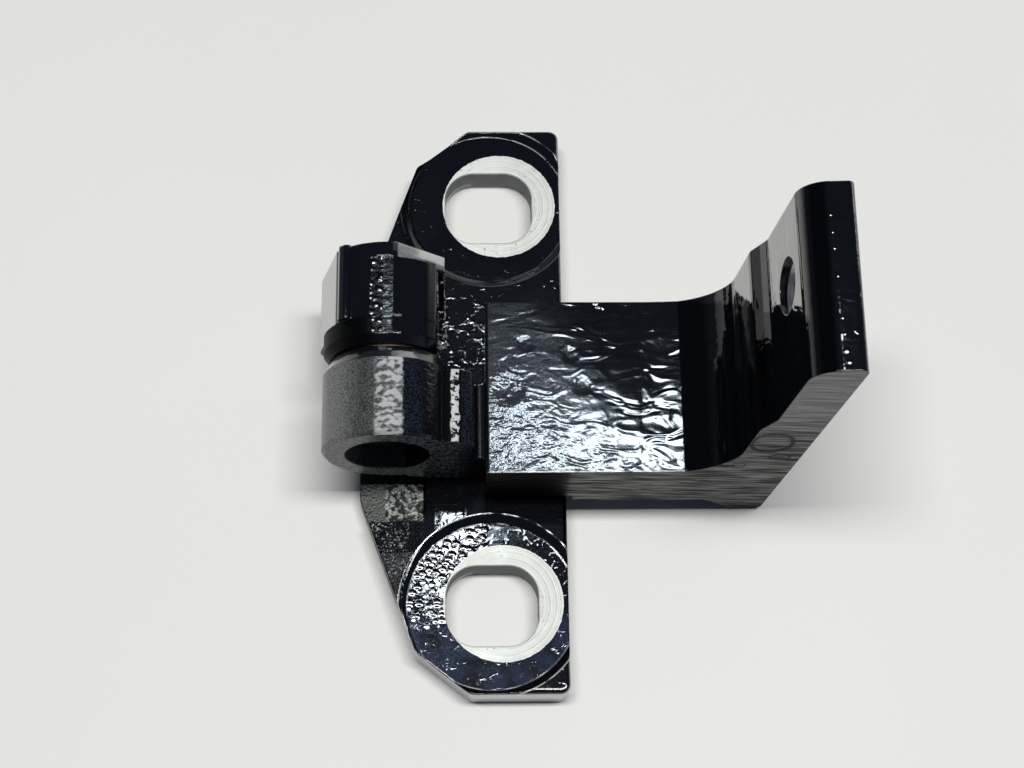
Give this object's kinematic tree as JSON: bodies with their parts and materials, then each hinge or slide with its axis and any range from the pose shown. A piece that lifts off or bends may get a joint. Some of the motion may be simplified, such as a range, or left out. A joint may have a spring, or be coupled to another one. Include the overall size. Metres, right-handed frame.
{
  "type": "car door hinge",
  "caption": "Two-leaf vehicle door hinge: a pillar plate with turned adjusting holes and an L-shaped door arm on a bushed pin.",
  "frame": {"origin": "centre of the pillar plate's mounting face, midway between its two adjusting holes", "axes": "+Z out of the pillar, square to the mounting face; +Y along the hinge pin, from the knuckle's open end to the eye; +X from the pin towards the door flange"},
  "size_m": [0.0796, 0.1, 0.064],
  "materials": {
    "pillar_paint": "gloss black coat over forged steel, bare at the hole seats",
    "door_paint": "gloss black coat over rolled section steel",
    "pin_steel": "ground steel",
    "bush_bronze": "sintered bronze with a dark liner",
    "spring_steel": "dark spring steel"
  },
  "bodies": {
    "pillar_side": {"pillar_leaf": "pillar_paint", "hinge_pin": "pin_steel", "retaining_washer": "pin_steel", "disc_spring": "spring_steel", "circlip": "spring_steel"},
    "door_side": {"door_leaf": "door_paint", "upper_bush": "bush_bronze", "lower_bush": "bush_bronze"}
  },
  "joints": [
    {"name": "door_swing", "type": "hinge", "parent": "pillar_side", "child": "door_side", "pos_m": [-0.0166, 0, 0.019], "axis": [0, -1, 0], "range_deg": [0, 70]}
  ]
}
